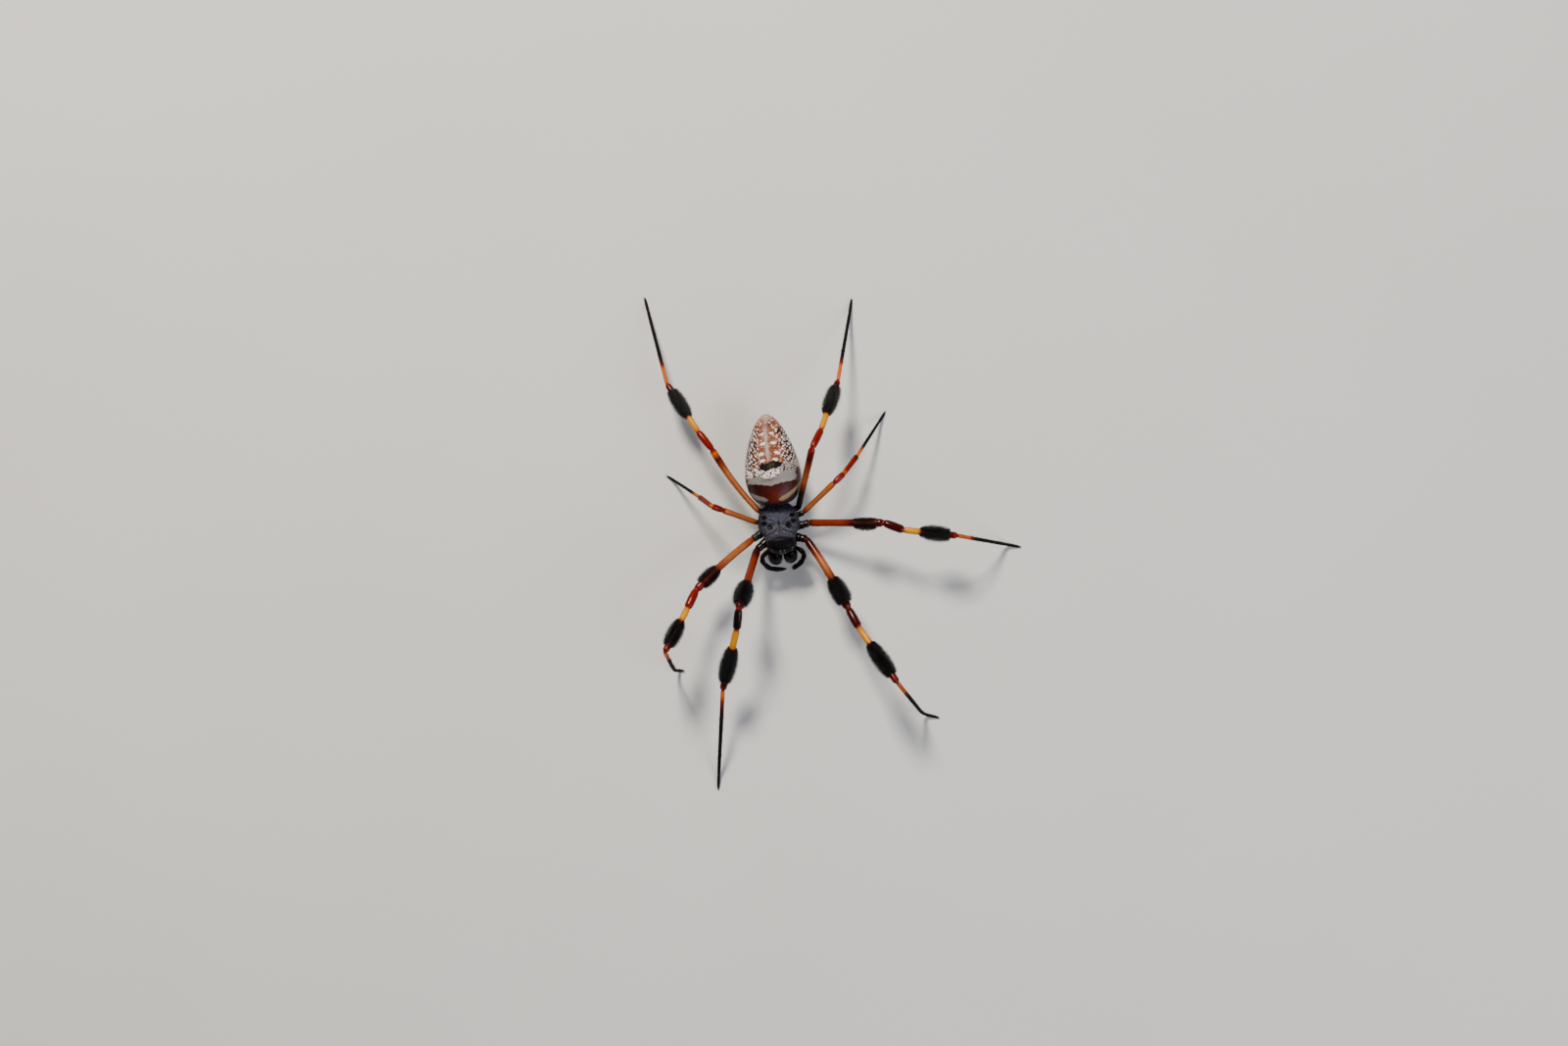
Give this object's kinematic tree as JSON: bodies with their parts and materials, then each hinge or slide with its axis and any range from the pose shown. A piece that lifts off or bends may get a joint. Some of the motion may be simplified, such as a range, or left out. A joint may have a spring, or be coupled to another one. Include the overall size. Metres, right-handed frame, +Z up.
{
  "type": "golden silk orb weaver spider figure",
  "caption": "Life-size still figure of a golden silk orb weaver spider, standing on long tufted legs, with a long cylindrical abdomen and a silvery carapace.",
  "frame": {"origin": "on the floor plane, under the middle of the bounding box of the whole spider, legs included", "axes": "-Y towards the spider's head, +X towards its left side, +Z up; the tips of the legs rest on Z = 0"},
  "size_m": [0.0724, 0.098, 0.0182],
  "materials": {
    "head": "glossy black cuticle",
    "shield": "silver-grey down over dark cuticle",
    "abdomen": "satin red-brown skin with pale spots and bands",
    "femur": "glossy amber to dark red cuticle, with black bristles on the front two pairs",
    "patella": "glossy dark red cuticle",
    "tibia": "yellow-orange cuticle, with a black bristle brush on the long pairs",
    "foot": "orange at the root, black to the tip",
    "eye": "polished black",
    "sternum": "dark brown cuticle with a paler middle",
    "spinnerets": "dark red-brown"
  },
  "bodies": {
    "root": {"abdomen": "abdomen", "cephalothorax": "shield", "chelicera_left": "head", "chelicera_right": "head", "eye_front_middle_left": "eye", "eye_front_middle_right": "eye", "eye_front_side_left": "eye", "eye_front_side_right": "eye", "eye_rear_middle_left": "eye", "eye_rear_middle_right": "eye", "eye_rear_side_left": "eye", "eye_rear_side_right": "eye", "fang_left": "head", "fang_right": "head", "leg_1_left_coxa": "head", "leg_1_left_femur": "femur", "leg_1_left_foot": "foot", "leg_1_left_patella": "patella", "leg_1_left_tibia": "tibia", "leg_1_right_coxa": "head", "leg_1_right_femur": "femur", "leg_1_right_foot": "foot", "leg_1_right_patella": "patella", "leg_1_right_tibia": "tibia", "leg_2_left_coxa": "head", "leg_2_left_femur": "femur", "leg_2_left_foot": "foot", "leg_2_left_patella": "patella", "leg_2_left_tibia": "tibia", "leg_2_right_coxa": "head", "leg_2_right_femur": "femur", "leg_2_right_foot": "foot", "leg_2_right_patella": "patella", "leg_2_right_tibia": "tibia", "leg_3_left_coxa": "head", "leg_3_left_femur": "femur", "leg_3_left_foot": "foot", "leg_3_left_patella": "patella", "leg_3_left_tibia": "tibia", "leg_3_right_coxa": "head", "leg_3_right_femur": "femur", "leg_3_right_foot": "foot", "leg_3_right_patella": "patella", "leg_3_right_tibia": "tibia", "leg_4_left_coxa": "head", "leg_4_left_femur": "femur", "leg_4_left_foot": "foot", "leg_4_left_patella": "patella", "leg_4_left_tibia": "tibia", "leg_4_right_coxa": "head", "leg_4_right_femur": "femur", "leg_4_right_foot": "foot", "leg_4_right_patella": "patella", "leg_4_right_tibia": "tibia", "palp_left": "head", "palp_right": "head", "spinnerets": "spinnerets", "sternum": "sternum"}
  },
  "joints": []
}
